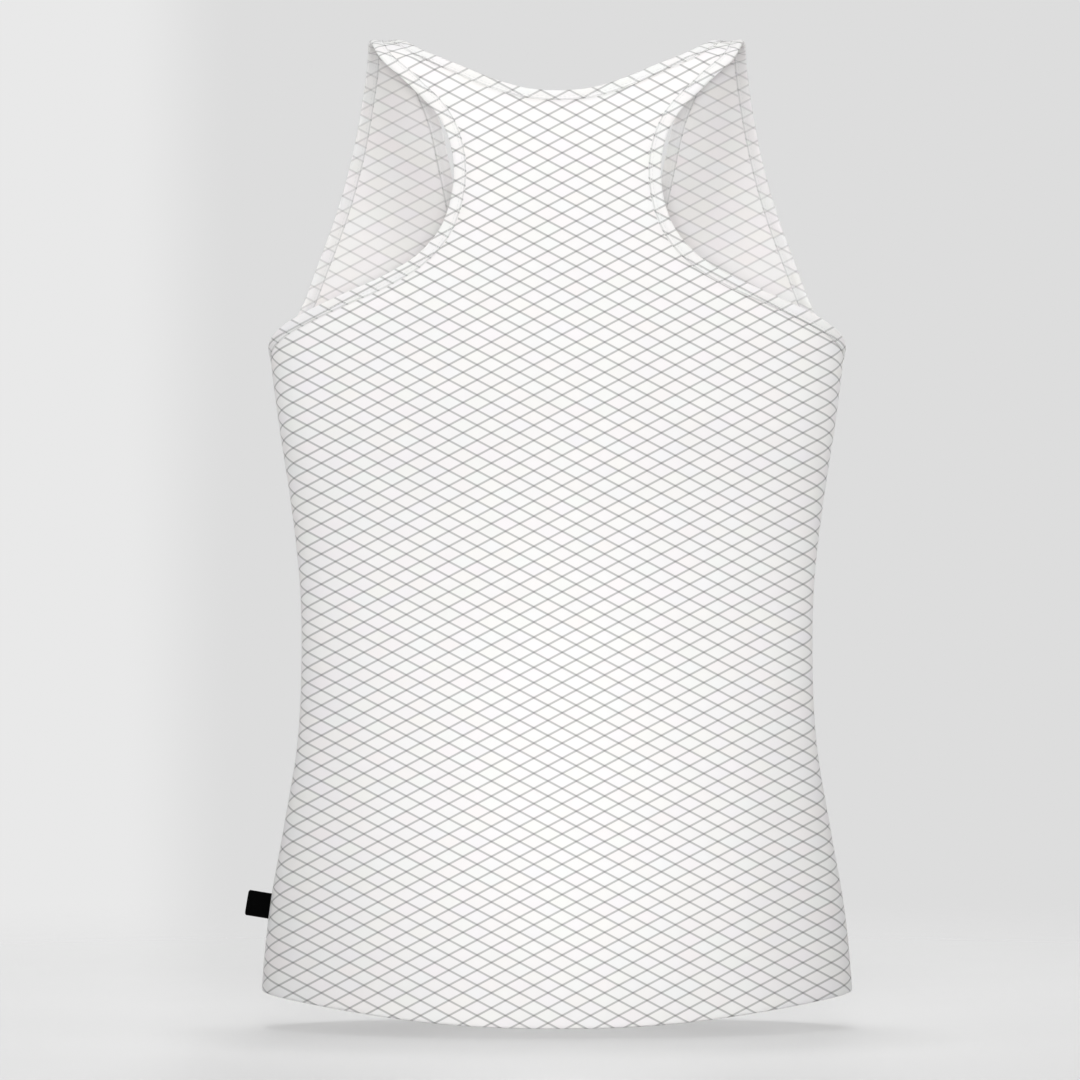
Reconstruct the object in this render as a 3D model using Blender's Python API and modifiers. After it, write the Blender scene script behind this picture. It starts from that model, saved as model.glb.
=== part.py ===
# Sleeveless base layer top: a women's racerback running tank, filled out with nobody in it.
# Metres, +Z up. The front faces -Y and the wearer's left is +X. The origin is midway between
# the straps, on the shoulder line that the wearer's shoulders hold up.
#
# Each panel is cut flat, as cloth is, and then wrapped on a rounded form. A place on the flat
# cloth is (across, down): across from the panel's middle, and down from the shoulder line.

import math

import bmesh
import bpy
import numpy as np
from mathutils import Matrix, Vector
from mathutils.geometry import delaunay_2d_cdt

MM = 0.001

# Cloth and seams
WALL = 1.2 * MM
SEAM_GAP = 0.3 * MM
BAND_WIDTH = 7 * MM  # of the folded strip on an edge, on each face of the panel
BAND_WALL = 1.0 * MM
LABEL_SIZE = (14.4 * MM, 1.0 * MM, 16 * MM)
LABEL_HEIGHT = -541 * MM
LABEL_TILT = math.radians(9.5)
LABEL_CORNER = 1.5 * MM

# The form: its cross-sections are superellipses, where a squareness of 2 is an ellipse and more
# is boxier. Above SHOULDER_DROP it rounds in to the shoulder line.
SHOULDER_DROP = 190 * MM
STRAP_DEPTH = 76 * MM  # of the form under a strap, where its rounding in begins
FORM = np.array(
    # height, half_width, back_depth, front_depth, squareness
    [
        (-625, 186.5, 92.0, 91.0, 2.2),
        (-600, 185.5, 91.5, 90.5, 2.2),
        (-545, 180.5, 88.0, 88.0, 2.15),
        (-490, 171.0, 80.0, 84.0, 2.1),
        (-440, 163.0, 73.0, 80.5, 2.1),
        (-390, 160.5, 70.0, 80.0, 2.1),
        (-340, 161.5, 71.0, 85.0, 2.15),
        (-290, 167.0, 76.0, 94.0, 2.35),
        (-240, 174.5, 83.0, 101.0, 2.7),
        (-192, 181.0, 87.0, 101.0, 2.9),
        (-130, 184.5, 87.0, 96.0, 2.9),
        (-60, 185.0, 85.0, 90.0, 2.9),
        (0, 185.0, 83.0, 85.0, 2.9),
    ]
)
HEIGHTS, HALF_WIDTHS, BACK_DEPTHS, FRONT_DEPTHS = MM * FORM[:, :4].T
SQUARENESS = FORM[:, 4]
SIDE_SEAM = 222 * MM  # across the flat cloth, from a panel's middle
HEM_MIDDLE = -613 * MM
HEM_RISE = 15 * MM  # from the middle of the hem to the side seams

# Edges of the panels, as (half_width, height) in mm. Armholes run from the side seam up to the
# shoulder seam, and necklines from the middle up to it.
BACK_ARMHOLE = (
    (181, -192), (164, -177), (132, -161), (105, -149), (86, -137), (73, -122),
    (65, -99), (65, -73), (72, -53), (92, -30), (111, -11), (117, 0),
)  # fmt: skip
FRONT_ARMHOLE = (
    (181, -192), (166, -166), (151, -138), (139, -105), (130, -73), (124, -43),
    (120, -17), (117, 0),
)  # fmt: skip
BACK_NECK = ((0, -35), (19, -33.5), (38, -28), (60, -18.5), (87, -6), (98, 0))
FRONT_NECK = (
    (0, -168), (28, -162), (50, -140), (62, -112), (68, -78), (74.5, -44), (85, -20),
    (98, 0),
)  # fmt: skip

# Sizes of the facets
EDGE_STEP = 9 * MM
SEAM_STEP = 19 * MM
HEM_STEP = 15 * MM
FINE_NET = (12 * MM, 12 * MM)
WIDE_NET = (16 * MM, 22 * MM)
NET_CLEARANCE = 0.6  # of a net's spacing, from a net point to the nearest point of an edge
CURVE_STEPS = 20  # between two points of an edge
SECTION_STEPS = 240  # in a quarter of a cross-section
PROBE = 0.2 * MM  # step used to measure the slope of the form

WHITE_CLOTH = ("white_cloth", (0.86, 0.86, 0.85, 1), 0.75)
WHITE_BINDING = ("white_binding", (0.90, 0.90, 0.89, 1), 0.7)
BLACK_LABEL = ("black_label", (0.012, 0.012, 0.012, 1), 0.55)

QUARTER_TURN = np.linspace(0, math.pi / 2, 4 * SECTION_STEPS + 1)


def lengths_along(xs, ys):
    """The distance of each point of a line from the line's start."""
    return np.append(0, np.cumsum(np.hypot(np.diff(xs), np.diff(ys))))


# The rounding in at the shoulder, from the shoulder line down
ARCH_DOWN = lengths_along(SHOULDER_DROP * np.cos(QUARTER_TURN), STRAP_DEPTH * np.sin(QUARTER_TURN))


def eased(values, slopes, i, span, share):
    """A smooth curve between values i and i + 1, span apart, with the slopes given at both."""
    ease = share * share * (3 - 2 * share)
    lead = slopes[i] * (1 - share) - slopes[i + 1] * share
    return values[i] * (1 - ease) + values[i + 1] * ease + span * share * (1 - share) * lead


class ByHeight:
    """Something that is known at each row of FORM, and changes smoothly between the rows."""

    def __init__(self, rows):
        self.rows = np.array(rows)
        self.slopes = np.gradient(self.rows, HEIGHTS, axis=0)

    def at(self, height):
        i = int(np.clip(np.searchsorted(HEIGHTS, height) - 1, 0, len(HEIGHTS) - 2))
        span = HEIGHTS[i + 1] - HEIGHTS[i]
        return eased(self.rows, self.slopes, i, span, (height - HEIGHTS[i]) / span)


def quarter_section(half_width, depth, squareness):
    """A cross-section from a panel's middle to its side seam: its xs and ys, in even steps."""
    xs = half_width * np.sin(QUARTER_TURN) ** (2 / squareness)
    ys = depth * np.cos(QUARTER_TURN) ** (2 / squareness)
    along = lengths_along(xs, ys)
    even = np.linspace(0, along[-1], SECTION_STEPS + 1)
    return np.interp(even, along, xs), np.interp(even, along, ys)


HALF_WIDTH = ByHeight(HALF_WIDTHS)
SECTION = {
    1: ByHeight([quarter_section(*row) for row in zip(HALF_WIDTHS, BACK_DEPTHS, SQUARENESS)]),
    -1: ByHeight([quarter_section(*row) for row in zip(HALF_WIDTHS, FRONT_DEPTHS, SQUARENESS)]),
}
ACROSS = np.linspace(0, SIDE_SEAM, SECTION_STEPS + 1)


def height_and_arch(down):
    """The height of a place on the cloth, and the share of the form's depth reached there."""
    if down > ARCH_DOWN[-1]:
        return ARCH_DOWN[-1] - down - SHOULDER_DROP, 1.0
    turn = np.interp(down, ARCH_DOWN, QUARTER_TURN)
    return SHOULDER_DROP * (math.cos(turn) - 1), math.sin(turn)


def down_to(height):
    """How far down the cloth a height is."""
    if height < -SHOULDER_DROP:
        return ARCH_DOWN[-1] - SHOULDER_DROP - height
    return np.interp(math.acos(1 + height / SHOULDER_DROP), QUARTER_TURN, ARCH_DOWN)


def on_cloth(facing, half_width, height):
    """The (across, down) of a place seen straight from behind or in front, in mm."""
    xs, _ = SECTION[facing].at(height * MM)
    return Vector((np.interp(half_width * MM, xs, ACROSS), down_to(height * MM)))


def form_point(facing, across, down):
    height, arch = height_and_arch(down)
    xs, ys = SECTION[facing].at(height)
    x = math.copysign(np.interp(abs(across), ACROSS, xs), across)
    return Vector((x, facing * arch * np.interp(abs(across), ACROSS, ys), height))


def wrapped(facing, place, out=0.0):
    """A place on the cloth, wrapped on the form and moved out from its surface."""
    across, down = place
    right = form_point(facing, min(across + PROBE, SIDE_SEAM), down)
    left = form_point(facing, across - PROBE, down)
    below = form_point(facing, across, down + PROBE)
    above = form_point(facing, across, max(down - PROBE, 0))
    normal = (right - left).cross(below - above).normalized() * facing
    return form_point(facing, across, down) + out * normal


def smooth_line(points, step, before, after):
    """Evenly spaced places on a smooth curve through points, with before and after beyond its ends."""
    knots = np.array([before, *points, after])
    at = lengths_along(knots[:, 0], knots[:, 1])
    slopes = np.gradient(knots, at, axis=0)
    fine = [
        eased(knots, slopes, i, at[i + 1] - at[i], share)
        for i in range(1, len(knots) - 2)
        for share in np.linspace(0, 1, CURVE_STEPS, endpoint=False)
    ]
    fine = np.array([*fine, knots[-2]])
    along = lengths_along(fine[:, 0], fine[:, 1])
    even = np.linspace(0, along[-1], round(along[-1] / step) + 1)
    return [Vector((np.interp(s, along, fine[:, 0]), np.interp(s, along, fine[:, 1]))) for s in even]


def round_side_seam(place):
    """A place on the other panel, as it lies when the cloth is opened flat at the side seam."""
    return Vector((2 * SIDE_SEAM - place.x, place.y))


def over_shoulder(place):
    """A place on the other panel, as it lies when the cloth is opened flat at the shoulder seam."""
    return Vector((place.x, -place.y))


def across_middle(place):
    return Vector((-place.x, place.y))


class Edge:
    """A finished edge of a panel: its places, the direction into the panel at each, and the inner
    line of the strip folded over it. All of them run up to the shoulder seam."""

    def __init__(self, places, into_first, into_last, turn):
        self.places = places
        tangents = [b - a for a, b in zip(places, places[2:])]
        between = [Vector((-t.y, t.x)).normalized() * turn for t in tangents]
        self.into = [Vector(into_first), *between, Vector(into_last)]
        self.inner = [place + into * BAND_WIDTH for place, into in zip(places, self.into)]

    def facet_lines(self):
        """The lines that the strip's facets share with the panel's, so that they stay parallel."""
        yield from zip(self.inner, self.inner[1:])
        yield from zip(self.places, self.inner)
        yield from zip(self.places, self.inner[1:])


def armhole_edge(facing, table, other_table):
    places = [on_cloth(facing, *row) for row in table]
    other = [on_cloth(-facing, *row) for row in other_table]
    line = smooth_line(places, EDGE_STEP, round_side_seam(other[1]), over_shoulder(other[-2]))
    return Edge(line, into_first=(0, 1), into_last=(-1, 0), turn=-1)


def neck_edge(facing, table, other_table):
    places = [on_cloth(facing, *row) for row in table]
    other = [on_cloth(-facing, *row) for row in other_table]
    line = smooth_line(places, EDGE_STEP, across_middle(places[1]), over_shoulder(other[-2]))
    return Edge(line, into_first=(0, 1), into_last=(1, 0), turn=1)


def straight(start, end, step):
    """Places from start to just before end, evenly spaced."""
    count = max(1, round((end - start).length / step))
    return [start.lerp(end, i / count) for i in range(count)]


def hem_place(across):
    rise = HEM_RISE * (1 - math.cos(math.pi * (across / SIDE_SEAM) ** 2)) / 2
    return Vector((across, down_to(HEM_MIDDLE + rise)))


def net(low, high, spacing):
    """Staggered places between two corners."""
    rows = round((high.y - low.y) / spacing[1])
    columns = math.ceil((high.x - low.x) / spacing[0])
    for row in range(rows + 1):
        for column in range(columns + 1):
            across = low.x + (column + 0.5 * (row % 2)) * spacing[0]
            yield Vector((across, low.y + (high.y - low.y) * row / rows))


def inner_places(outline, lines, underarm):
    """Net places inside a half panel, fine above the underarm and wide below it, clear of every line."""
    sides = list(zip(outline, outline[1:] + outline[:1]))
    drawn = outline + lines
    top = min(place.y for place in outline)
    bottom = max(place.y for place in outline)
    split = underarm + BAND_WIDTH
    fine = net(Vector((0, top)), Vector((SIDE_SEAM, split)), FINE_NET)
    wide = net(Vector((0, split)), Vector((SIDE_SEAM, bottom)), WIDE_NET)
    for places, spacing in ((fine, FINE_NET), (wide, WIDE_NET)):
        for place in places:
            crossings = sum(
                (a.y > place.y) != (b.y > place.y)
                and place.x < a.x + (b.x - a.x) * (place.y - a.y) / (b.y - a.y)
                for a, b in sides
            )
            nearest = min((place - other).length for other in drawn)
            if crossings % 2 and nearest > NET_CLEARANCE * max(spacing):
                yield place


def new_object(name, mesh, material, collection):
    label, colour, roughness = material
    stuff = bpy.data.materials.get(label) or bpy.data.materials.new(label)
    stuff.use_nodes = True
    surface = stuff.node_tree.nodes["Principled BSDF"]
    surface.inputs["Base Color"].default_value = colour
    surface.inputs["Roughness"].default_value = roughness
    mesh.materials.append(stuff)
    mesh.shade_smooth()
    mesh.set_sharp_from_angle(angle=math.radians(40))
    obj = bpy.data.objects.new(name, mesh)
    collection.objects.link(obj)
    return obj


def mesh_of(bm, name):
    mesh = bpy.data.meshes.new(name)
    bm.to_mesh(mesh)
    bm.free()
    return mesh


def mirrored(obj):
    """Adds the wearer's right half."""
    mirror = obj.modifiers.new("Right half", "MIRROR")
    mirror.use_clip = True
    mirror.merge_threshold = 0.01 * MM


def panel(name, facing, armhole, neck, collection):
    """A front or back: half of it is cut flat, given its wall, and wrapped on the form."""
    hem = [hem_place(place.x) for place in straight(Vector((0, 0)), Vector((SIDE_SEAM, 0)), HEM_STEP)]
    hem_corner = hem_place(SIDE_SEAM)
    outline = [
        *hem,
        *straight(hem_corner, armhole.inner[0], SEAM_STEP),
        armhole.inner[0],
        *armhole.places,
        armhole.inner[-1],
        neck.inner[-1],
        *reversed(neck.places),
        *straight(neck.inner[0], hem[0], SEAM_STEP),
    ]
    inner_lines = armhole.inner[1:-1] + neck.inner[1:-1]
    loose = list(inner_places(outline, inner_lines, armhole.places[0].y))
    places = outline + inner_lines + loose
    number = {place.to_tuple(7): i for i, place in enumerate(places)}
    edges = [(i, (i + 1) % len(outline)) for i in range(len(outline))]
    for edge in (armhole, neck):
        edges += [(number[a.to_tuple(7)], number[b.to_tuple(7)]) for a, b in edge.facet_lines()]
    flat, _, triangles, *_ = delaunay_2d_cdt(places, edges, [], 1, 0.01 * MM)

    bm = bmesh.new()
    corners = [bm.verts.new((place.x, place.y, 0)) for place in flat]
    for triangle in triangles:
        bm.faces.new([corners[i] for i in triangle])
    bm.normal_update()
    bmesh.ops.solidify(bm, geom=bm.faces[:], thickness=WALL)
    bmesh.ops.translate(bm, verts=bm.verts, vec=(0, 0, -max(vert.co.z for vert in bm.verts)))
    bmesh.ops.recalc_face_normals(bm, faces=bm.faces)
    if facing < 0:
        bmesh.ops.reverse_faces(bm, faces=bm.faces)
    middle = [face for face in bm.faces if all(abs(vert.co.x) < PROBE for vert in face.verts)]
    bmesh.ops.delete(bm, geom=middle, context="FACES_ONLY")
    for vert in bm.verts:
        across, down, out = vert.co
        vert.co = wrapped(facing, (across, down), out)
        vert.co.y = facing * max(abs(vert.co.y), SEAM_GAP / 2)
        if across < PROBE:
            vert.co.x = 0
    obj = new_object(name, mesh_of(bm, name), WHITE_CLOTH, collection)
    mirrored(obj)


def band_profile():
    """The folded strip's section: (distance into the panel, distance out from its outer face)."""
    outer, outer_top = SEAM_GAP, SEAM_GAP + BAND_WALL
    inner, inner_top = -WALL - SEAM_GAP, -WALL - SEAM_GAP - BAND_WALL
    fold = -SEAM_GAP - BAND_WALL
    ease = 0.6 * BAND_WALL  # rounds the fold
    return (
        (BAND_WIDTH, outer_top), (fold + ease, outer_top), (fold, outer_top - ease),
        (fold, inner_top + ease), (fold + ease, inner_top), (BAND_WIDTH, inner_top),
        (BAND_WIDTH, inner), (-SEAM_GAP, inner), (-SEAM_GAP, outer), (BAND_WIDTH, outer),
    )  # fmt: skip


def band_mesh(name, back, front, closed):
    """A strip folded over an edge: along the back panel's edge, then back down the front's."""
    profile = band_profile()
    bm = bmesh.new()

    def ring(facing, place, into):
        return [bm.verts.new(wrapped(facing, place + into * inward, out)) for inward, out in profile]

    back_rings = [ring(1, place, into) for place, into in zip(back.places, back.into)]
    front_rings = [ring(-1, place, into) for place, into in zip(front.places[:-1], front.into)]
    front_rings.append(back_rings[-1])
    if closed:
        bmesh.ops.delete(bm, geom=front_rings[0], context="VERTS")
        front_rings[0] = back_rings[0]
    for rings in (back_rings, front_rings):
        for low, high in zip(rings, rings[1:]):
            for i, (inward, _) in enumerate(profile):
                j = (i + 1) % len(profile)
                # The diagonal runs from the edge below to the inner line above
                a, b = (i, j) if profile[j][0] > inward else (j, i)
                bm.faces.new((low[a], low[b], high[b]))
                bm.faces.new((low[a], high[b], high[a]))
    bmesh.ops.recalc_face_normals(bm, faces=bm.faces)
    return mesh_of(bm, name)


def armhole_binding(name, side, back, front, collection):
    mesh = band_mesh(name, back, front, closed=True)
    if side < 0:
        mesh.transform(Matrix.Scale(-1, 4, (1, 0, 0)))
        mesh.flip_normals()
    new_object(name, mesh, WHITE_BINDING, collection)


def neck_binding(back, front, collection):
    mesh = band_mesh("neck_binding", back, front, closed=False)
    for vert in mesh.vertices:
        if abs(vert.co.x) < PROBE:
            vert.co.x = 0
    mirrored(new_object("neck_binding", mesh, WHITE_BINDING, collection))


def side_label(collection):
    """A small woven tab, caught upright in the wearer's left side seam."""
    bm = bmesh.new()
    bmesh.ops.create_cube(bm, size=1)
    bmesh.ops.scale(bm, vec=LABEL_SIZE, verts=bm.verts)
    upright = [edge for edge in bm.edges if abs((edge.verts[0].co - edge.verts[1].co).y) > PROBE]
    outer = [edge for edge in upright if edge.verts[0].co.x > 0]
    bmesh.ops.bevel(bm, geom=outer, offset=LABEL_CORNER, segments=3, profile=0.5, affect="EDGES")
    bmesh.ops.rotate(bm, verts=bm.verts, matrix=Matrix.Rotation(-LABEL_TILT, 3, "Y"))
    near = min(vert.co.x - HALF_WIDTH.at(LABEL_HEIGHT + vert.co.z) for vert in bm.verts)
    bmesh.ops.translate(bm, verts=bm.verts, vec=(SEAM_GAP - near, 0, LABEL_HEIGHT))
    new_object("side_label", mesh_of(bm, "side_label"), BLACK_LABEL, collection)


def build():
    for obj in list(bpy.data.objects):
        bpy.data.objects.remove(obj, do_unlink=True)
    collection = bpy.data.collections.new("sleeveless_base_layer_top")
    bpy.context.scene.collection.children.link(collection)

    back_arm = armhole_edge(1, BACK_ARMHOLE, FRONT_ARMHOLE)
    front_arm = armhole_edge(-1, FRONT_ARMHOLE, BACK_ARMHOLE)
    back_neck = neck_edge(1, BACK_NECK, FRONT_NECK)
    front_neck = neck_edge(-1, FRONT_NECK, BACK_NECK)

    panel("back_panel", 1, back_arm, back_neck, collection)
    panel("front_panel", -1, front_arm, front_neck, collection)
    armhole_binding("armhole_binding_left", 1, back_arm, front_arm, collection)
    armhole_binding("armhole_binding_right", -1, back_arm, front_arm, collection)
    neck_binding(back_neck, front_neck, collection)
    side_label(collection)


build()
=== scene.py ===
# Sleeveless base layer top: how it looks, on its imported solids.
# Metres, +Z up. The front faces -Y and the wearer's left is +X. The camera stands behind the top.

import math

import bmesh
import bpy
import numpy as np
from mathutils import Matrix, Vector


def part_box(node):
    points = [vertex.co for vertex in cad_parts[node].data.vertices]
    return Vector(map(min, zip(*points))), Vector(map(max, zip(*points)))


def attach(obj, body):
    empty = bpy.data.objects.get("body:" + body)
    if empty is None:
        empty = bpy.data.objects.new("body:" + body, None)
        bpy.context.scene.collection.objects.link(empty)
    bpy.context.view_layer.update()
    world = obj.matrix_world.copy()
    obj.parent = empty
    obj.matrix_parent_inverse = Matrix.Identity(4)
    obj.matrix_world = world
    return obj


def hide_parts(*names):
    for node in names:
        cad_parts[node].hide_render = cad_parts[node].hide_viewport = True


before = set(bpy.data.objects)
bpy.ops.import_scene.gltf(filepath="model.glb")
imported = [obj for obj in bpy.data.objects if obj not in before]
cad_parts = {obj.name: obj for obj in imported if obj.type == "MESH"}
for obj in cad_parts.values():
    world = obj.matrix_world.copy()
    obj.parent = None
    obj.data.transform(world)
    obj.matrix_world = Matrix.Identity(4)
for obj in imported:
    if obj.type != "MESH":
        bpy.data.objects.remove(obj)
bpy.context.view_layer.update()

# Back and front panels: one piece each, of white stretch knit with a thin grey diamond lattice.
# They are cut flat, sewn to each other down the sides and over the shoulders, and filled out as
# if worn. The hem is the cloth itself, turned up inside and bonded.

MM = 0.001
CLOTH = 0.9 * MM  # thickness of the knit
FORM = np.array(
    # height, half_width, back_depth and front_depth in mm, squareness
    [
        (-625, 186.5, 92.0, 91.0, 2.2),
        (-600, 185.5, 91.5, 90.5, 2.2),
        (-545, 180.5, 88.0, 88.0, 2.15),
        (-490, 171.0, 80.0, 84.0, 2.1),
        (-440, 163.0, 73.0, 80.5, 2.1),
        (-390, 160.5, 70.0, 80.0, 2.1),
        (-340, 161.5, 71.0, 85.0, 2.15),
        (-290, 167.0, 76.0, 94.0, 2.35),
        (-240, 174.5, 83.0, 101.0, 2.7),
        (-192, 180.3, 87.0, 101.0, 2.9),
        (-130, 184.5, 87.0, 96.0, 2.9),
        (-60, 185.0, 85.0, 90.0, 2.9),
        (0, 185.0, 83.0, 85.0, 2.9),
    ]
)
HEIGHTS, HALF_WIDTHS, BACK_DEPTHS, FRONT_DEPTHS = MM * FORM[:, :4].T
SQUARENESS = FORM[:, 4]
SHOULDER_DROP = 190 * MM  # the form rounds in above this, to the shoulder line
STRAP_DEPTH = 76 * MM  # of the form there, for the length of cloth that goes over it
SIDE_SEAM = 222 * MM  # across the flat cloth, from a panel's middle
HEM_MIDDLE = -613 * MM
HEM_RISE = 17.3 * MM  # at the side seams
NET_STEP = 1 * MM  # down the form, between the rows of places kept for it
NET_ROWS, NET_COLUMNS, TURN_STEPS = 655, 241, 961
QUARTER_TURN = np.linspace(0, math.pi / 2, TURN_STEPS)
DOWN = np.arange(NET_ROWS) * NET_STEP
ACROSS = np.linspace(0, SIDE_SEAM, NET_COLUMNS)
JUST_INSIDE = 1.001  # keeps a place at the net's end within its last cell

# Edges of the panels, as (half_width, height) in mm. Here, as in all that is said of each panel,
# 1 is the back, which faces +Y, and -1 is the front.
ARMHOLE = {
    1: (
        (181, -195), (178.5, -187.8), (167.8, -178.2), (152.5, -170.2), (132, -161),
        (105, -149), (86, -137), (73, -122), (65, -99), (65, -73), (72, -53), (92, -30),
        (111, -11), (117.5, 0),
    ),
    -1: (
        (181, -195), (174, -186), (163.5, -166), (152.5, -137), (140.5, -104), (131.5, -73),
        (125, -43), (120.5, -17), (117.5, 0),
    ),
}
NECK = {
    1: ((0, -33.8), (19, -32.3), (38, -26.9), (60, -17.5), (87, -5.3), (98, 0)),
    -1: (
        (0, -168.5), (20, -165.5), (38, -155), (51.5, -136), (60.5, -110), (67.5, -78),
        (75, -45), (85, -20.5), (98, 0),
    ),
}

# The lattice is even when the top is seen from behind, from the camera's place
EYE = Vector((10.7 * MM, 4.0, -313 * MM))
MOST_DRAWN_OUT = 1.7  # how far the lattice is drawn out at most, where the cloth turns away
CURL_OVER = 12 * MM  # below the shoulder seam, where the lattice starts to follow the curl


def lengths_along(points):
    """The distance of each point of a line from the line's start."""
    steps = np.linalg.norm(np.diff(points, axis=0), axis=1)
    return np.append(0, np.cumsum(steps))


ROUNDING = np.stack(
    [SHOULDER_DROP * np.cos(QUARTER_TURN), STRAP_DEPTH * np.sin(QUARTER_TURN)], axis=1
)
ARCH_DOWN = lengths_along(ROUNDING)


def eased(low, high, low_slope, high_slope, share):
    """A smooth curve from low to high, with the slopes given at both ends."""
    ease = share * share * (3 - 2 * share)
    lead = low_slope * (1 - share) - high_slope * share
    return low * (1 - ease) + high * ease + share * (1 - share) * lead


def at_heights(rows, heights):
    """Something known at each row of FORM, at other heights."""
    slopes = np.gradient(rows, HEIGHTS, axis=0)
    i = np.clip(np.searchsorted(HEIGHTS, heights) - 1, 0, len(HEIGHTS) - 2)
    wide = (-1,) + (1,) * (rows.ndim - 1)
    span = (HEIGHTS[i + 1] - HEIGHTS[i]).reshape(wide)
    share = (heights - HEIGHTS[i]).reshape(wide) / span
    return eased(rows[i], rows[i + 1], slopes[i] * span, slopes[i + 1] * span, share)


def quarter_section(half_width, depth, squareness):
    """A cross-section from a panel's middle to its side seam, in even steps."""
    xs = half_width * np.sin(QUARTER_TURN) ** (2 / squareness)
    ys = depth * np.cos(QUARTER_TURN) ** (2 / squareness)
    along = lengths_along(np.stack([xs, ys], axis=1))
    even = np.linspace(0, along[-1], NET_COLUMNS)
    return np.interp(even, along, xs), np.interp(even, along, ys)


def form_net(facing):
    """Of the back or the front, by down and across: place, outward direction, lattice's extra."""
    depths = BACK_DEPTHS if facing > 0 else FRONT_DEPTHS
    sections = [quarter_section(*row) for row in zip(HALF_WIDTHS, depths, SQUARENESS)]
    turns = np.interp(DOWN, ARCH_DOWN, QUARTER_TURN)
    straight = np.maximum(DOWN - ARCH_DOWN[-1], 0)
    heights = SHOULDER_DROP * (np.cos(turns) - 1) - straight
    xs, ys = at_heights(np.array(sections), heights).transpose(1, 0, 2)
    ys = facing * ys * np.sin(turns)[:, None]
    places = np.stack([xs, ys, heights[:, None] + 0 * xs], axis=2)

    outward = np.cross(np.gradient(places, axis=1), np.gradient(places, axis=0)) * facing
    outward[:, 0, 0] = 0
    outward[:, -1, 1] = 0
    outward[0, :, 1] = 0
    outward /= np.linalg.norm(outward, axis=2, keepdims=True)

    steps = np.diff(places, axis=1, prepend=places[:, :1])
    least = np.linalg.norm(steps, axis=2) / MOST_DRAWN_OUT
    extra_across = np.cumsum(np.maximum(least - np.abs(steps[..., 0]), 0), axis=1)
    rise = np.diff(places[::-1], axis=0, prepend=places[-1:])
    curls = np.hypot(rise[..., 2], rise[..., 1]) - np.abs(rise[..., 2])
    curls[heights[::-1] < -CURL_OVER] = 0
    extra_up = np.cumsum(curls, axis=0)[::-1]
    return np.dstack([places, outward, extra_across, extra_up])


FORM_NET = {facing: form_net(facing) for facing in (1, -1)}


def on_cloth(facing, half_width, height):
    """The (across, down) of a place seen straight from behind or in front, in mm."""
    turn = math.acos(max(-1, 1 + height * MM / SHOULDER_DROP))
    down = np.interp(turn, QUARTER_TURN, ARCH_DOWN)
    if height * MM < -SHOULDER_DROP:
        down = ARCH_DOWN[-1] - SHOULDER_DROP - height * MM
    row = min(int(down / NET_STEP), NET_ROWS - 2)
    share = down / NET_STEP - row
    xs = FORM_NET[facing][row, :, 0] * (1 - share) + FORM_NET[facing][row + 1, :, 0] * share
    return np.array([np.interp(half_width * MM, xs, ACROSS), down])


# Soft troughs and ridges: across, down, turn in degrees, half length, half width, height, in mm
FOLD_BEND = 0.0018  # how much each curves along its length
FOLDS = {
    1: (
        (-6, 150, 92, 70, 24, -1.8),
        (95, 262, 158, 85, 26, 1.3),
        (-104, 268, 24, 80, 24, 1.4),
        (60, 395, 172, 95, 20, -1.3),
        (-66, 412, 6, 90, 22, -1.1),
        (20, 438, 178, 80, 15, 1.0),
        (130, 520, 80, 95, 26, 1.5),
        (-122, 532, 98, 85, 24, 1.7),
        (40, 575, 86, 70, 24, -1.1),
        (-38, 560, 94, 80, 26, -1.3),
    ),
    -1: (
        (120, 250, 150, 60, 17, 2.5),
        (-116, 246, 32, 64, 18, 2.3),
        (96, 275, 143, 60, 15, -2.1),
        (-98, 280, 38, 56, 16, -2.3),
        (0, 262, 90, 50, 26, -2.3),
        (54, 400, 168, 90, 20, -1.9),
        (-60, 418, 10, 95, 22, -2.1),
        (0, 446, 178, 90, 17, 1.7),
        (124, 525, 82, 90, 26, 2.3),
        (-128, 520, 99, 92, 25, 2.1),
        (30, 565, 88, 75, 25, -1.9),
        (-44, 580, 92, 70, 24, -1.7),
    ),
}
SMOOTH_AT_SEAM = 26 * MM


def smooth_step(share):
    """From 0 to 1 and level at both ends."""
    share = np.clip(share, 0, 1)
    return share * share * (3 - 2 * share)


def folds(facing, flat):
    """How far the cloth's soft troughs and ridges stand from the form."""
    total = np.zeros(len(flat))
    for across, down, turn, length, width, height in FOLDS[facing]:
        away = (flat - np.array([across, down]) * MM) / MM
        turn = math.radians(turn)
        along = away @ [math.cos(turn), -math.sin(turn)]
        over = away @ [math.sin(turn), math.cos(turn)] + FOLD_BEND * along**2
        total += height * MM * np.exp(-((along / length) ** 2) - (over / width) ** 2)
    from_side = SIDE_SEAM - np.abs(flat[:, 0])
    total *= smooth_step(from_side / SMOOTH_AT_SEAM)
    return total * smooth_step(flat[:, 1] / SMOOTH_AT_SEAM)


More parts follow.
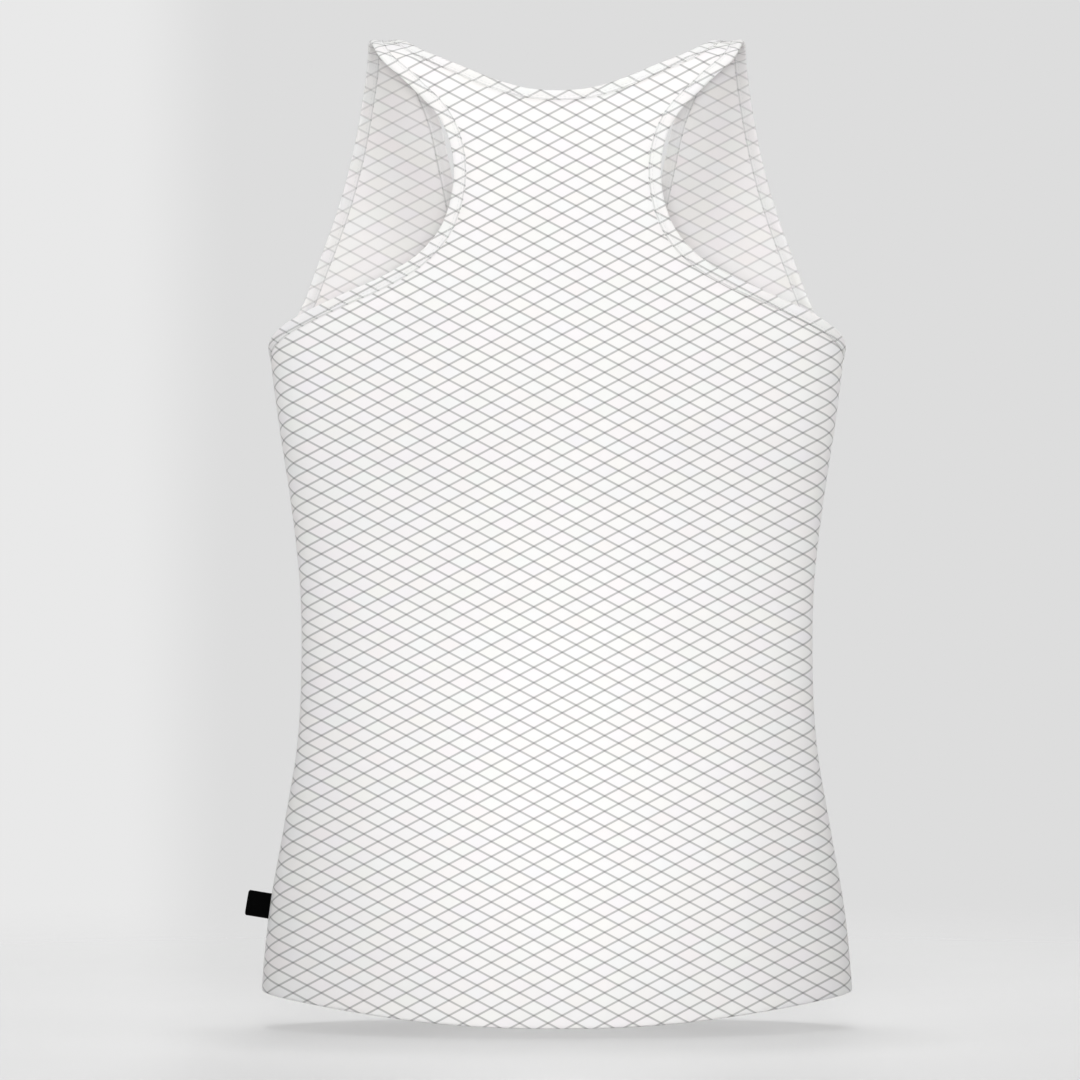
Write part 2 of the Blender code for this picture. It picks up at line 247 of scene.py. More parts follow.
def worn(facing, flat, out):
    """Places on the flat cloth, wrapped on the form and moved out from it, and their lattice."""
    flat = np.asarray(flat, float)
    facing = np.broadcast_to(facing, len(flat))
    result = np.zeros((len(flat), 3))
    lattice = np.zeros((len(flat), 2))
    for side in (1, -1):
        here = facing == side
        side_flat = flat[here]
        net = FORM_NET[side]
        row = np.clip(side_flat[:, 1] / NET_STEP, 0, NET_ROWS - JUST_INSIDE)
        column = np.clip(np.abs(side_flat[:, 0]) / ACROSS[1], 0, NET_COLUMNS - JUST_INSIDE)
        i, j = row.astype(int), column.astype(int)
        row, column = (row - i)[:, None], (column - j)[:, None]
        values = (net[i, j] * (1 - column) + net[i, j + 1] * column) * (1 - row)
        values += (net[i + 1, j] * (1 - column) + net[i + 1, j + 1] * column) * row
        hand = np.where(side_flat[:, 0] < 0, -1, 1)
        values[:, [0, 3, 6]] *= hand[:, None]  # all that points across
        lift = folds(side, side_flat) + np.broadcast_to(out, len(flat))[here]
        places = values[:, :3] + values[:, 3:6] * lift[:, None]
        nearer = EYE.y / (EYE.y - places[:, 1])
        lattice[here, 0] = EYE.x + (places[:, 0] - EYE.x) * nearer + values[:, 6]
        lattice[here, 1] = EYE.z + (places[:, 2] - EYE.z) * nearer + values[:, 7]
        result[here] = places
    return result, lattice


def smooth_line(points, before, after):
    """A smooth curve through points, heading for before and after beyond its ends."""
    knots = np.array([before, *points, after])
    at = lengths_along(knots)
    slopes = np.gradient(knots, at, axis=0)
    shares = np.linspace(0, 1, 20, endpoint=False)
    fine = [
        eased(knots[i], knots[i + 1], slopes[i] * span, slopes[i + 1] * span, share)
        for i, span in enumerate(np.diff(at))
        if 0 < i < len(knots) - 2
        for share in shares
    ]
    return np.array([*fine, knots[-2]])


def evenly(line, shares):
    """The places at these shares of a line's length."""
    along = lengths_along(line)
    at = np.asarray(shares) * along[-1]
    return np.stack([np.interp(at, along, axis) for axis in line.T], axis=1)


def edge_line(facing, tables, point_before):
    """An edge of a panel on the flat cloth, that runs on smoothly into the other panel's."""
    points = [on_cloth(facing, *row) for row in tables[facing]]
    other = [on_cloth(-facing, *row) for row in tables[-facing]]
    before = point_before(points, other)
    return smooth_line(points, before, other[-2] * [1, -1])


def armhole_line(facing):
    """An armhole's edge, from the side seam up to the shoulder seam."""

    def past_side_seam(points, other):
        return [2 * SIDE_SEAM - other[1][0], other[1][1]]

    return edge_line(facing, ARMHOLE, past_side_seam)


def neck_line(facing):
    """The neck's edge, from the middle up to the shoulder seam."""
    return edge_line(facing, NECK, lambda points, other: points[1] * [-1, 1])


def into_cloth(line, turn):
    """At each place of an edge, the way the cloth lies from it."""
    along = np.gradient(line, axis=0)
    into = np.stack([-along[:, 1], along[:, 0]], axis=1) * turn
    ends = into[[0, -1]]
    into[[0, -1]] = np.round(ends / np.abs(ends).max(axis=1, keepdims=True))
    return into / np.linalg.norm(into, axis=1, keepdims=True)


RAW_EDGE = 1.0 * MM  # the cloth ends this far inside its binding's fold
ARMHOLE_LINE = {facing: armhole_line(facing) for facing in (1, -1)}
NECK_LINE = {facing: neck_line(facing) for facing in (1, -1)}

COLUMNS = 62  # in half a panel
BODY_ROWS = 112
CHEST_ROWS = {1: 58, -1: 24}
STRAP_ROWS = {1: 44, -1: 76}
CHEST_LEVEL = {1: 262 * MM, -1: 250 * MM}  # down the middle, opposite the underarm
STRAP_START = {1: 0.66, -1: 0.12}  # share of the armhole, opposite the middle of the neck
HEM_FOLD = (
    # up from the hem, out from the form, in mm
    (18.0, -1.55), (17.7, -1.85), (17.0, -1.95), (13.0, -1.9), (9.0, -1.95), (5.0, -1.9),
    (2.2, -1.95), (1.0, -1.9), (0.35, -1.6), (0.0, -1.0), (0.35, -0.4), (1.0, -0.1),
    (2.2, 0.0),
)
SEAM_DIP = 1.0 * MM  # how far the cloth turns in at a seam
SEAM_ROLL = 2.6 * MM  # and over what width
SEAM_LINE = 0.02 * MM  # between a panel's edge and the plane of the seams
HEM_CURVE = 1.2  # over 1, the hem rises later on its way to the side
SMOOTHINGS = 30  # of the net's flat spacing


def hem_down(across):
    """How far down the flat cloth the hem is."""
    rise = HEM_RISE * (1 - np.cos(np.pi * (across / SIDE_SEAM) ** HEM_CURVE)) / 2
    return ARCH_DOWN[-1] - SHOULDER_DROP - HEM_MIDDLE - rise


def panel_rows(facing):
    """The inner and outer ends of each row of a half panel's net, from the hem up."""
    body = np.linspace(0, 1, BODY_ROWS, endpoint=False)[:, None]
    chest = np.linspace(0, 1, CHEST_ROWS[facing], endpoint=False)[:, None]
    strap = np.linspace(0, 1, STRAP_ROWS[facing] + 1)[:, None]
    armhole = ARMHOLE_LINE[facing] + RAW_EDGE * into_cloth(ARMHOLE_LINE[facing], -1)
    neck = NECK_LINE[facing] + RAW_EDGE * into_cloth(NECK_LINE[facing], 1)
    lowest = hem_down(np.array([0, SIDE_SEAM])) - HEM_FOLD[-1][0] * MM
    middle = np.array([0, CHEST_LEVEL[facing]])
    split = STRAP_START[facing]
    inner = [
        (1 - body) * [0, lowest[0]] + body * middle,
        (1 - chest) * middle + chest * neck[0],
        evenly(neck, strap[:, 0]),
    ]
    outer = [
        (1 - body) * [SIDE_SEAM, lowest[1]] + body * armhole[0],
        evenly(armhole, chest[:, 0] * split),
        evenly(armhole, split + strap[:, 0] * (1 - split)),
    ]
    return np.concatenate(inner), np.concatenate(outer)


def finished_mesh(bm, name):
    """A smoothly shaded mesh made of a bmesh, which is freed."""
    mesh = bpy.data.meshes.new(name)
    bm.to_mesh(mesh)
    bm.free()
    mesh.shade_smooth()
    return mesh


def lay_cloth(bm, places, lattice, as_cut):
    """Moves each vertex to its place, and notes its place in the lattice and in the flat cut."""
    for vert, place in zip(bm.verts, places):
        vert.co = place
    for name, flat in (("weave", lattice), ("cut", as_cut)):
        layer = bm.loops.layers.uv.new(name)
        for face in bm.faces:
            for loop in face.loops:
                loop[layer].uv = flat[loop.vert.index]


def panel_mesh(name, facing):
    """A panel cut flat, with its hem folded, and then wrapped on the form."""
    inner, outer = panel_rows(facing)
    half = np.arange(COLUMNS + 1) / COLUMNS
    share = np.append(half[::-1], half)[:, None]
    hand = np.repeat([-1, 1], COLUMNS + 1)
    flat = inner[:, None] * (1 - share) + outer[:, None] * share
    hem = hem_down(share[:, 0] * SIDE_SEAM) - HEM_FOLD[-1][0] * MM
    fading = 1 - smooth_step(np.arange(len(flat)) / BODY_ROWS)
    flat[..., 1] += fading[:, None] * (hem - flat[0, :, 1])
    flat[..., 0] *= hand
    fold = np.repeat(flat[:1], len(HEM_FOLD) - 1, axis=0)
    fold[..., 1] += (HEM_FOLD[-1][0] - np.array(HEM_FOLD)[:-1, :1]) * MM
    flat = np.concatenate([fold, flat])

    bm = bmesh.new()
    bmesh.ops.create_grid(bm, x_segments=len(hand) - 1, y_segments=len(flat) - 1, size=0.5)
    bm.verts.ensure_lookup_table()
    out = np.zeros(len(flat))
    out[: len(HEM_FOLD)] = np.array(HEM_FOLD)[:, 1] * MM
    for vert, place, lift in zip(bm.verts, flat.reshape(-1, 2), np.repeat(out, len(hand))):
        vert.co = (*place, lift)
    middle = bm.faces[:][COLUMNS :: len(hand) - 1]  # the empty column between the halves
    bmesh.ops.delete(bm, geom=middle, context="FACES_ONLY")
    bmesh.ops.remove_doubles(bm, verts=bm.verts, dist=0.001 * MM)
    above_fold = hem.min() - 1 * MM
    loose = [v for v in bm.verts if not v.is_boundary and v.co.y < above_fold]
    for _ in range(SMOOTHINGS):
        bmesh.ops.smooth_vert(bm, verts=loose, factor=0.5, use_axis_x=True, use_axis_y=True)

    cut = np.array([vert.co for vert in bm.verts])
    flat = cut[:, :2]
    from_side = SIDE_SEAM - np.abs(flat[:, 0])
    near = np.minimum(from_side, flat[:, 1])
    out = cut[:, 2] - SEAM_DIP * np.clip(1 - near / SEAM_ROLL, 0, 1) ** 2
    places, lattice = worn(facing, flat, out)
    places[:, 1] = facing * np.maximum(facing * places[:, 1], SEAM_LINE)
    lay_cloth(bm, places, lattice, flat)
    if facing > 0:
        bmesh.ops.reverse_faces(bm, faces=bm.faces)
    return finished_mesh(bm, name)


def node(tree, kind, *values, **settings):
    """Adds a shader node. Values go to its inputs in order, and None leaves one as it is."""
    made = tree.nodes.new("ShaderNode" + kind)
    for key, value in settings.items():
        setattr(made, key, value)
    for socket, value in zip(made.inputs, values):
        if isinstance(value, bpy.types.NodeSocket):
            tree.links.new(value, socket)
        elif value is not None:
            socket.default_value = value
    return made.outputs[0]


def math_node(tree, operation, *values):
    return node(tree, "Math", *values, operation=operation)


SMOOTHLY = {"interpolation_type": "SMOOTHSTEP"}


def new_material(name):
    """A material, its tree and its shader."""
    stuff = bpy.data.materials.new(name)
    stuff.use_nodes = True
    return stuff, stuff.node_tree, stuff.node_tree.nodes["Principled BSDF"]


def raise_surface(tree, surface, height, strength, distance):
    """Gives a shader a bump."""
    bump = tree.nodes.new("ShaderNodeBump")
    bump.inputs["Strength"].default_value = strength
    bump.inputs["Distance"].default_value = distance
    tree.links.new(height, bump.inputs["Height"])
    tree.links.new(bump.outputs[0], surface.inputs["Normal"])


LATTICE_SIZE = (17.789 * MM, 9.505 * MM)  # of a whole diamond
LATTICE_CROSSING = (5.73 * MM, -397.8 * MM)  # a place where two lines cross
LINE_SPACING = 1 / math.hypot(1 / LATTICE_SIZE[0], 1 / LATTICE_SIZE[1])
LINE_CORE, LINE_EDGE = 0.3 * MM, 0.85 * MM  # half widths of a line, dark and fading out
PLAIN_STRIP = (5.5 * MM, 9 * MM)  # from a side seam: where the lattice starts, and is full
TUCK_SHADOW_WIDTHS = (0.15 * MM, 0.6 * MM)  # half widths of the painted shadow line along a binding, dark and fading out
TUCK_SHADOW_DARKEST = 0.8  # how pale that painted shadow line is at its darkest
WALE, COURSE = 0.95 * MM, 0.75 * MM  # width and height of a loop of the knit
TINT = 0.022  # how far the diamonds differ in colour
BLOTCHES = (55, 2, 0.5)  # scale, detail and roughness of the uneven white
BLOTCH_SHADE = (0.03, 0.985)  # how much it varies, and its darkest
LINE_DIP = -1.2  # of a printed line, in heights of a loop
LINE_ROUGHNESS = 0.12  # added where a line is


def knit(name, white, line_strength, roughness=0.62, turned_edge=None):
    """White knit, with the lattice's lines as dark as line_strength.

    Panels are plain next to the side seams. A binding has a line of painted shadow along it, where
    its long edge is turned under, turned_edge from the finished edge.
    """
    stuff, tree, surface = new_material(name)
    place = tree.nodes.new("ShaderNodeUVMap")
    place.uv_map = "weave"
    parts = node(tree, "SeparateXYZ", place.outputs[0]).node
    across = math_node(tree, "SUBTRACT", parts.outputs[0], LATTICE_CROSSING[0])
    across = math_node(tree, "DIVIDE", across, LATTICE_SIZE[0])
    up = math_node(tree, "SUBTRACT", parts.outputs[1], LATTICE_CROSSING[1])
    up = math_node(tree, "DIVIDE", up, LATTICE_SIZE[1])

    cut = tree.nodes.new("ShaderNodeUVMap")
    cut.uv_map = "cut"
    inward = node(tree, "SeparateXYZ", cut.outputs[0])
    if turned_edge:
        inked = line_strength
    else:
        inward = math_node(tree, "SUBTRACT", SIDE_SEAM, math_node(tree, "ABSOLUTE", inward))
        inked = node(tree, "MapRange", inward, *PLAIN_STRIP, 0, line_strength)

    marks, cells, lines = [], [], []
    for lean in ("ADD", "SUBTRACT"):
        step = math_node(tree, lean, across, up)
        away = math_node(tree, "MULTIPLY", math_node(tree, "PINGPONG", step, 0.5), LINE_SPACING)
        line = node(tree, "MapRange", away, LINE_CORE, LINE_EDGE, 1, 0, **SMOOTHLY)
        lines.append(line)
        marks.append(math_node(tree, "SUBTRACT", 1, math_node(tree, "MULTIPLY", line, inked)))
        cells.append(math_node(tree, "FLOOR", step))
    print_and_painted_shadow = math_node(tree, "MULTIPLY", *marks)
    if turned_edge:
        # Painted shadow: a darker line in the colour where the binding's long edge is turned under
        away = math_node(tree, "ABSOLUTE", math_node(tree, "SUBTRACT", inward, turned_edge))
        tuck_shadow = node(tree, "MapRange", away, *TUCK_SHADOW_WIDTHS, TUCK_SHADOW_DARKEST, 1)
        print_and_painted_shadow = math_node(tree, "MULTIPLY", print_and_painted_shadow, tuck_shadow)

    cell = node(tree, "CombineXYZ", *cells)
    chance = node(tree, "TexWhiteNoise", cell).node
    blotch = node(tree, "TexNoise", place.outputs[0], None, *BLOTCHES)
    shade = math_node(tree, "MULTIPLY_ADD", blotch, *BLOTCH_SHADE)
    shade = math_node(tree, "MULTIPLY", print_and_painted_shadow, shade)
    tones = node(tree, "MixRGB", TINT, (1, 1, 1, 1), chance.outputs["Color"])
    colour = node(tree, "VectorMath", white, tones, operation="MULTIPLY")
    colour = node(tree, "VectorMath", colour, shade, operation="MULTIPLY")
    tree.links.new(colour, surface.inputs["Base Color"])

    wale = math_node(tree, "PINGPONG", math_node(tree, "DIVIDE", parts.outputs[0], WALE), 0.5)
    course = math_node(tree, "DIVIDE", parts.outputs[1], COURSE)
    course = math_node(tree, "ADD", course, wale)
    loops = math_node(tree, "SINE", math_node(tree, "MULTIPLY", course, 2 * math.pi))
    loops = math_node(tree, "MULTIPLY", loops, wale)
    both = math_node(tree, "ADD", *lines)
    height = math_node(tree, "MULTIPLY_ADD", both, LINE_DIP, loops)
    raise_surface(tree, surface, height, strength=0.35, distance=0.08 * MM)
    rough = math_node(tree, "MULTIPLY_ADD", both, LINE_ROUGHNESS, roughness)
    tree.links.new(rough, surface.inputs["Roughness"])
    surface.inputs["Specular IOR Level"].default_value = 0.45
    surface.inputs["Sheen Weight"].default_value = 0.08
    surface.inputs["Sheen Roughness"].default_value = 0.5
    return stuff


OUTSIDE = knit("white_knit_outside", (0.9, 0.887, 0.882), 0.43)
INSIDE = knit("white_knit_inside", (0.9, 0.883, 0.877), 0.22, roughness=0.72)


def dress(piece, node_name):
    """Puts a piece in the scene, in place of its solid."""
    bpy.context.scene.collection.objects.link(piece)
    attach(piece, "root")
    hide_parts(node_name)


def panel(node_name, facing):
    """A panel with the knit's thickness, which lies inside its face."""
    name = node_name + "_cloth"
    piece = bpy.data.objects.new(name, panel_mesh(name, facing))
    piece.data.materials.append(OUTSIDE)
    piece.data.materials.append(INSIDE)
    wall = piece.modifiers.new("Knit thickness", "SOLIDIFY")
    wall.thickness = CLOTH
    wall.offset = -1
    wall.material_offset = 1
    dress(piece, node_name)


panel("back_panel", 1)
panel("front_panel", -1)

# Neck and armhole bindings: strips of the same knit, folded in half over each raw edge with their
# own long edges tucked under. Each is joined into a ring, and follows the edge of both panels.

BINDING_FOLD = (
    # in from the finished edge, out from the cloth's face, in mm
    (7.2, 0.08), (7.45, 0.3), (7.35, 0.6), (6.95, 0.74), (6.4, 0.6), (5.7, 0.74), (5.0, 0.62),
    (4.2, 0.9), (3.4, 1.06), (2.6, 1.12), (1.8, 1.06), (1.0, 0.86), (0.4, 0.5), (0.05, 0.0),
    (-0.05, -0.45), (0.05, -0.95), (0.4, -1.45), (1.0, -1.82), (1.8, -2.0), (2.6, -2.06),
    (3.4, -2.0), (4.2, -1.84), (5.0, -1.56), (5.7, -1.68), (6.4, -1.54), (6.95, -1.68),
    (7.35, -1.54), (7.45, -1.24), (7.2, -1.0), (5.0, -0.96), (2.4, -0.95), (0.9, -0.8),
    (0.65, -0.45), (0.9, -0.1), (2.4, 0.04), (5.0, 0.05),
)
INSIDE_LEG = range(14, 28)  # steps of the fold that lie inside the top
BINDING_STEP = 2.5 * MM
BINDING_SHIFT = (4.4 * MM, -1.5 * MM)  # between the lattice of a binding and of the panels
RING_STEPS = 1200  # places on each run of a ring
RIPPLE = 0.12 * MM  # where the stitching draws the strip in unevenly
RIPPLE_WAVES = (410, 173)  # radians a metre
SEAM_PULL = 0.9 * MM  # how far a strip is drawn in where it crosses a side seam
SEAM_PULL_REACH = 22 * MM


class Ring:
    """The closed line of a finished edge: where it runs, and which way the cloth lies from it."""

    def __init__(self, runs):
        """runs are (facing, flat line, hand, side the cloth lies on), joined end to end."""
        facings, places, intos = [], [], []
        for facing, line, hand, turn in runs:
            line = evenly(line, np.linspace(0, 1, RING_STEPS))
            into = into_cloth(line, turn)
            facings.append(np.full(len(line), facing))
            places.append(line * [hand, 1])
            intos.append(into * [hand, 1])
        self.facing = np.concatenate(facings)
        self.places = np.concatenate(places)
        self.into = np.concatenate(intos)
        self.along = lengths_along(worn(self.facing, self.places, 0)[0])

    def spots(self, count):
        """Numbers of evenly spaced places round the ring."""
        even = np.linspace(0, self.along[-1], count, endpoint=False)
        return np.searchsorted(self.along, even).clip(0, len(self.along) - 1)

    def at(self, spots, inward, out):
        """Places in from the finished edge and out from the cloth, and their lattice."""
        spots = np.asarray(spots)
        short, long = (self.along[spots] * wave for wave in RIPPLE_WAVES)
        ripple = RIPPLE * np.sin(short) * np.sin(long + 1)
        flat = self.places[spots] + self.into[spots] * np.reshape(inward, (-1, 1))
        from_side = SIDE_SEAM - np.abs(flat[:, 0])
        pull = SEAM_PULL * smooth_step(1 - from_side / SEAM_PULL_REACH)
        return worn(self.facing[spots], flat, out + ripple - pull)


def armhole_ring(hand):
    back, front = ARMHOLE_LINE[1], ARMHOLE_LINE[-1]
    return Ring([(1, back, hand, -1), (-1, front[::-1], hand, 1)])


def neck_ring():
    back, front = NECK_LINE[1], NECK_LINE[-1]
    return Ring(
        [(1, back, 1, 1), (-1, front[::-1], 1, -1), (-1, front, -1, 1), (1, back[::-1], -1, -1)]
    )


def binding(name, ring, node_name):
    """A folded strip: the fold's section, carried all round the ring."""
    count = round(ring.along[-1] / BINDING_STEP)
    spots = np.append(ring.spots(count), 0)
    around = len(BINDING_FOLD)
    bm = bmesh.new()
    bmesh.ops.create_grid(bm, x_segments=around, y_segments=count, size=0.5)
    bm.verts.ensure_lookup_table()
    fold = np.array(BINDING_FOLD + BINDING_FOLD[:1]) * MM
    spots, inward, out = (
        np.repeat(spots, around + 1),
        np.tile(fold[:, 0], count + 1),
        np.tile(fold[:, 1], count + 1),
    )
    places, lattice = ring.at(spots, inward, out)
    lay_cloth(bm, places, lattice + BINDING_SHIFT, np.stack([inward, out], axis=1))
    for i, face in enumerate(bm.faces):
        face.material_index = i % around in INSIDE_LEG
    bmesh.ops.remove_doubles(bm, verts=bm.verts, dist=0.01 * MM)
    bmesh.ops.recalc_face_normals(bm, faces=bm.faces)
    piece = bpy.data.objects.new(name, finished_mesh(bm, name))
    piece.data.materials.append(STRIP)
    piece.data.materials.append(STRIP_INSIDE_SHADED)
    dress(piece, node_name)
    return piece


TURNED_EDGE = 6.8 * MM
STRIP = knit(
    "white_binding_strip", (0.87, 0.862, 0.855), 0.38, roughness=0.6, turned_edge=TURNED_EDGE
)
# The inner leg's white is painted a little darker than the strip's face: painted shade, as it lies
# inside the top
STRIP_INSIDE_SHADED = knit(
    "white_binding_strip_inside_painted_shade", (0.85, 0.838, 0.832), 0.2, roughness=0.7, turned_edge=TURNED_EDGE
)
RINGS = {
    "armhole_binding_left": armhole_ring(1),
    "armhole_binding_right": armhole_ring(-1),
    "neck_binding": neck_ring(),
}
bindings = {name: binding(name + "_strip", ring, name) for name, ring in RINGS.items()}

# Stitching of the bindings: white polyester thread, in two rows of short stitches on the face and
# two on the inside, that hold each binding to the cloth between its legs. The thread is painted
# grey, as painted shade along the rows.

STITCH = 2.7 * MM
STITCH_SIZE = (1.15 * MM, 0.2 * MM, 0.16 * MM)  # half length, half width, half height
STITCH_ROWS = (
    # in from the finished edge, out from the cloth's face, in mm
    (5.0, 0.64), (6.4, 0.62), (5.0, -1.58), (6.4, -1.56),
)


def thread_material():
    stuff, tree, surface = new_material("white_thread_with_painted_shade")
    place = node(tree, "TexCoord").node.outputs["Object"]
    twist = node(tree, "TexNoise", place, None, 2600, 2, 0.6)
    # The thread is painted grey, darker than the white cloth: painted shade along the rows of
    # stitching. The twist varies it at random.
    shade = node(tree, "MapRange", twist, 0.3, 0.7, 0.68, 0.8)
    tree.links.new(node(tree, "CombineXYZ", shade, shade, shade), surface.inputs["Base Color"])
    raise_surface(tree, surface, twist, strength=0.5, distance=0.05 * MM)
    surface.inputs["Roughness"].default_value = 0.5
    surface.inputs["Sheen Weight"].default_value = 0.15
    return stuff


THREAD = thread_material()


def one_stitch():
    bm = bmesh.new()
    bmesh.ops.create_uvsphere(bm, u_segments=6, v_segments=4, radius=1)
    bmesh.ops.scale(bm, vec=STITCH_SIZE, verts=bm.verts)
    return finished_mesh(bm, "one_stitch")


ONE_STITCH = one_stitch()


def stitches(name, ring):
    """Rows of stitches round a ring, each lying along the line between two spots of it."""
    bm = bmesh.new()
    count = round(ring.along[-1] / STITCH)
    stitch = ONE_STITCH.copy()
    for inward, out in STITCH_ROWS:
        near, far = ring.spots(4 * count)[::4], ring.spots(4 * count)[2::4]
        starts, _ = ring.at(near, inward * MM, out * MM)
        ends, _ = ring.at(far, inward * MM, out * MM)
        above, _ = ring.at(near, inward * MM, (out + 1) * MM)
        for start, end, over in zip(starts, ends, above):
            along = Vector(end - start).normalized()
            lift = Vector(over - start)
            lift = (lift - along * lift.dot(along)).normalized()
            turn = Matrix((along, lift.cross(along), lift)).transposed().to_4x4()
            placed = Matrix.Translation((start + end) / 2) @ turn
            stitch.transform(placed)
            bm.from_mesh(stitch)
            stitch.transform(placed.inverted())
    piece = bpy.data.objects.new(name, finished_mesh(bm, name))
    piece.data.materials.append(THREAD)
    bpy.context.scene.collection.objects.link(piece)
    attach(piece, "root")
    return piece


stitching = {name: stitches(name + "_stitching", ring) for name, ring in RINGS.items()}

# Side label: a small black tab of close-woven tape, folded double with its ends caught in the
# wearer's left side seam. It is bare.

LABEL_LENGTH, LABEL_WIDTH = 14.4 * MM, 16 * MM
LABEL_WALL = 0.34 * MM
LABEL_HEIGHT = -543 * MM
LABEL_TILT = math.radians(9.5)
LABEL_TUCK = 1.0 * MM  # caught in the seam
LABEL_HALF_GAP = 0.55 * LABEL_WALL  # from the middle of the fold to the middle of a layer
LABEL_BOW = 0.55 * MM  # how far the tip bends back
LABEL_TWIST = 0.4 * MM
LABEL_ROUNDING = 0.9 * MM  # of the tip's corners
TAPE_STEPS, FOLD_STEPS, TAPE_ROWS = 16, 9, 18


def label_material():
    stuff, tree, surface = new_material("black_woven_tape")
    place = node(tree, "TexCoord").node.outputs["Object"]
    rib = node(tree, "TexWave", place, 420, 1.5, 2, 1, wave_type="BANDS", bands_direction="Z")
    yarn = node(tree, "TexWave", place, 700, 1, 2, 1, wave_type="BANDS", bands_direction="X")
    both = math_node(tree, "MULTIPLY", rib.node.outputs["Fac"], yarn.node.outputs["Fac"])
    shade = node(tree, "MapRange", both, 0, 1, 0.0008, 0.002)
    tree.links.new(node(tree, "CombineXYZ", shade, shade, shade), surface.inputs["Base Color"])
    raise_surface(tree, surface, both, strength=0.6, distance=0.08 * MM)
    rough = node(tree, "MapRange", both, 0, 1, 0.75, 0.6)
    tree.links.new(rough, surface.inputs["Roughness"])
    surface.inputs["Specular IOR Level"].default_value = 0.02
    return stuff


def side_label():
    """The tape, seen from above, runs out from the seam, turns back at its fold, and returns."""
    reach = LABEL_LENGTH + LABEL_TUCK
    fold = reach - LABEL_HALF_GAP
    out = np.linspace(0, fold, TAPE_STEPS)
    turn = np.linspace(0, np.pi, FOLD_STEPS)[1:-1]
    layer = np.ones(TAPE_STEPS)
    xs = np.concatenate([out, fold + LABEL_HALF_GAP * np.sin(turn), out[::-1]])
    ys = LABEL_HALF_GAP * np.concatenate([layer, np.cos(turn), -layer])
    bm = bmesh.new()
    bmesh.ops.create_grid(bm, x_segments=len(xs) - 1, y_segments=TAPE_ROWS, size=0.5)
    bm.verts.ensure_lookup_table()
    for i, vert in enumerate(bm.verts):
        column, up = i % len(xs), i // len(xs) / TAPE_ROWS - 0.5
        share = xs[column] / reach
        corner = max(0, abs(up) - 0.4) / 0.1  # from 0 to 1 over the outer tenth
        x = xs[column] - LABEL_ROUNDING * corner**2 * share**8
        bow = LABEL_BOW * share**2 * math.cos(up * 2.2) - LABEL_TWIST * share * up
        vert.co = (x, ys[column] + bow, up * LABEL_WIDTH)
    bmesh.ops.rotate(bm, verts=bm.verts, matrix=Matrix.Rotation(-LABEL_TILT, 3, "Y"))
    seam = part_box("side_label")[0].x - LABEL_TUCK
    low = min(v.co.x for v in bm.verts)
    bmesh.ops.translate(bm, verts=bm.verts, vec=(seam - low, 0, LABEL_HEIGHT))
    name = "side_label_tape"
    piece = bpy.data.objects.new(name, finished_mesh(bm, name))
    piece.data.materials.append(label_material())
    wall = piece.modifiers.new("Tape thickness", "SOLIDIFY")
    wall.thickness = LABEL_WALL
    wall.offset = 0
    dress(piece, "side_label")


side_label()

# Floor, lights and camera: a pale studio, whose round floor fades into an even grey that is paler
# to the wearer's left. A narrow key light, a high one and a low strip light the back, a broad one
# the front, and the rest the sides and the floor.

FLOOR = -620 * MM
FLOOR_FADES, FLOOR_REACH = 0.7, 1.6  # from the middle: where it starts to fade, and its edge
FLOOR_SOLID = 0.5  # how much of it shows before it fades
GREY = 0.723
PALE_GREY = 0.814  # to the wearer's left
PALE_TURN = (0.047, 0.066)  # of the way to that side, where the one grey turns into the other
ALL_ROUND = 0.3  # light from all sides


def floor_material():
    stuff, tree, surface = new_material("pale_floor")
    place = node(tree, "TexCoord").node.outputs["Object"]
    away = node(tree, "VectorMath", place, operation="LENGTH").node.outputs["Value"]
    solid = node(tree, "MapRange", away, FLOOR_FADES, FLOOR_REACH, FLOOR_SOLID, 0, **SMOOTHLY)
    tree.links.new(solid, surface.inputs["Alpha"])
    grain = node(tree, "TexNoise", place, None, 9, 2, 0.5)
    shade = node(tree, "MapRange", grain, 0, 1, 0.91, 0.93)
    tree.links.new(node(tree, "CombineXYZ", shade, shade, shade), surface.inputs["Base Color"])
    surface.inputs["Roughness"].default_value = 0.9
    surface.inputs["Specular IOR Level"].default_value = 0.1
    return stuff


bm = bmesh.new()
bmesh.ops.create_circle(bm, cap_ends=True, segments=128, radius=FLOOR_REACH)
bmesh.ops.translate(bm, verts=bm.verts, vec=(0, 0, FLOOR))
floor = bpy.data.objects.new("floor", finished_mesh(bm, "floor"))
floor.data.materials.append(floor_material())
bpy.context.scene.collection.objects.link(floor)

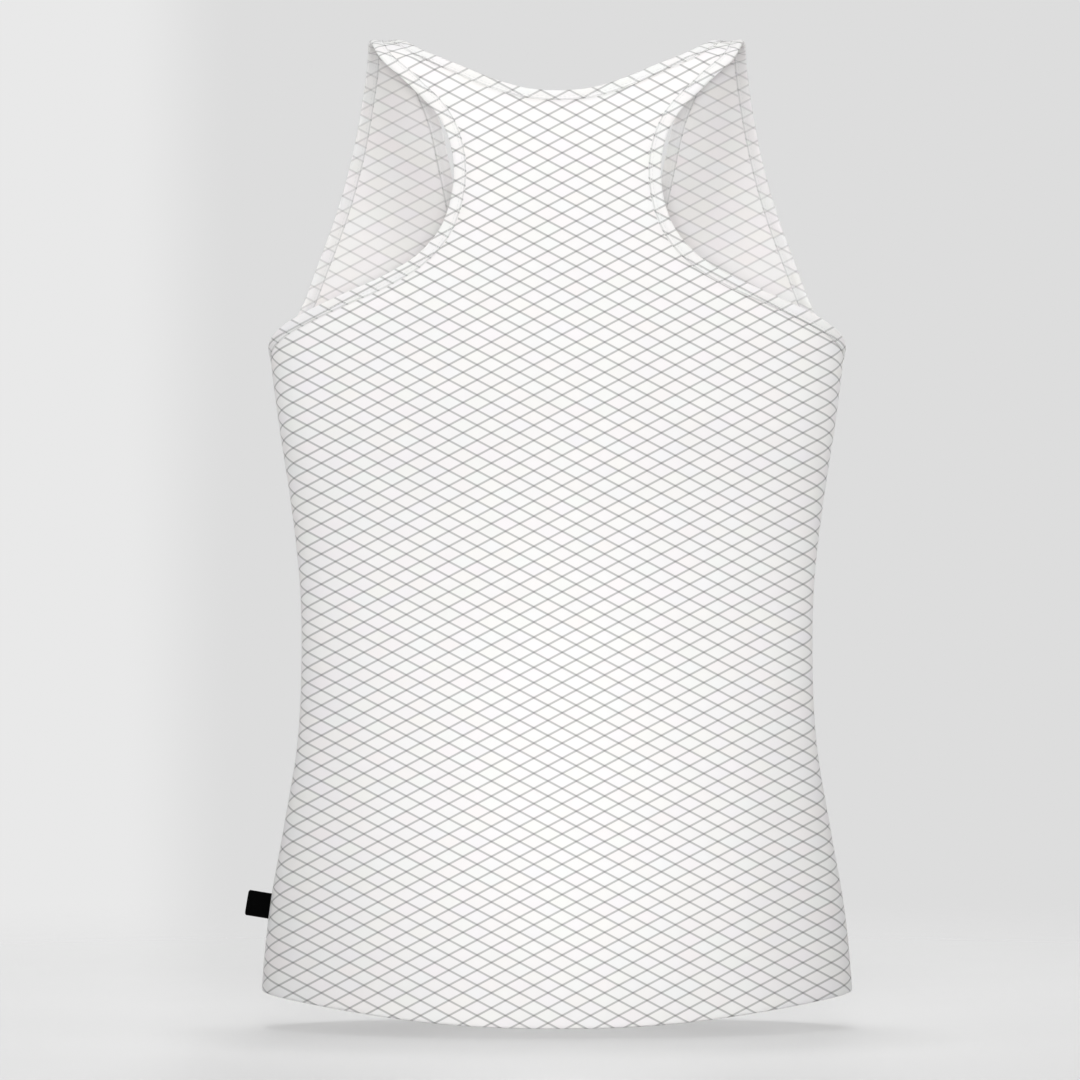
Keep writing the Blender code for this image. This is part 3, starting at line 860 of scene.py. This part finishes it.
world = bpy.data.worlds.new("studio")
world.use_nodes = True
bpy.context.scene.world = world
tree = world.node_tree
shine = tree.nodes["Background"]
seen = node(tree, "LightPath").node.outputs["Is Camera Ray"]
heading = node(tree, "SeparateXYZ", node(tree, "TexCoord").node.outputs["Generated"])
grey = node(tree, "MapRange", heading, *PALE_TURN, GREY, PALE_GREY, **SMOOTHLY)
strength = node(tree, "MapRange", seen, 0, 1, ALL_ROUND, grey)
shine.inputs["Color"].default_value = (1, 1, 1, 1)
tree.links.new(strength, shine.inputs["Strength"])


def soft_light(name, place, target, size, power, spread=180, height=None):
    """A round lamp, or an upright strip if it has a height, with its spread in degrees."""
    light = bpy.data.lights.new(name, "AREA")
    light.shape = "RECTANGLE" if height else "DISK"
    light.size = size
    light.size_y = height or size
    light.spread = math.radians(spread)
    light.energy = power
    lamp = bpy.data.objects.new(name, light)
    lamp.visible_camera = False
    lamp.location = place
    lamp.rotation_euler = (Vector(target) - Vector(place)).to_track_quat("-Z", "Y").to_euler()
    bpy.context.scene.collection.objects.link(lamp)


soft_light("key", (0.01, 4.3, -0.25), (0, 0, 0), 0.5, 3.2, spread=36)
soft_light("strip", (0, 0.5, -0.48), (0, 0, -0.48), 0.06, 0.118, spread=100, height=0.22)
soft_light("high", (0.01, 2.9, 2.1), (0, 0, -0.3), 1.2, 30)
soft_light("front", (-0.4, -3.8, 0), (0, 0, -0.3), 1.4, 65)
soft_light("left", (3.2, -2.2, 0), (0, 0, -0.3), 1.2, 12)
soft_light("right", (-3.2, -2.2, 0), (0, 0, -0.3), 1.2, 12)
soft_light("left_back", (3.2, 0.5, 0.5), (0.17, 0, 0), 0.5, 0.54, spread=24)
soft_light("right_back", (-3.2, 0.5, 0.5), (-0.17, 0, 0), 0.5, 0.54, spread=24)
soft_light("above", (0, -0.4, 2.2), (0, 0, -0.4), 0.5, 17)

FRAME_WIDTH = 678.2 * MM  # what the photograph takes in, in the plane of the side seams
SENSOR = 36
camera = bpy.data.objects.new("camera", bpy.data.cameras.new("camera"))
camera.data.sensor_width = SENSOR
camera.data.lens = SENSOR * EYE.y / FRAME_WIDTH
camera.location = EYE
camera.rotation_euler = (math.pi / 2, 0, math.pi)
bpy.context.scene.collection.objects.link(camera)
bpy.context.scene.camera = camera
bpy.context.scene.view_settings.view_transform = "Standard"
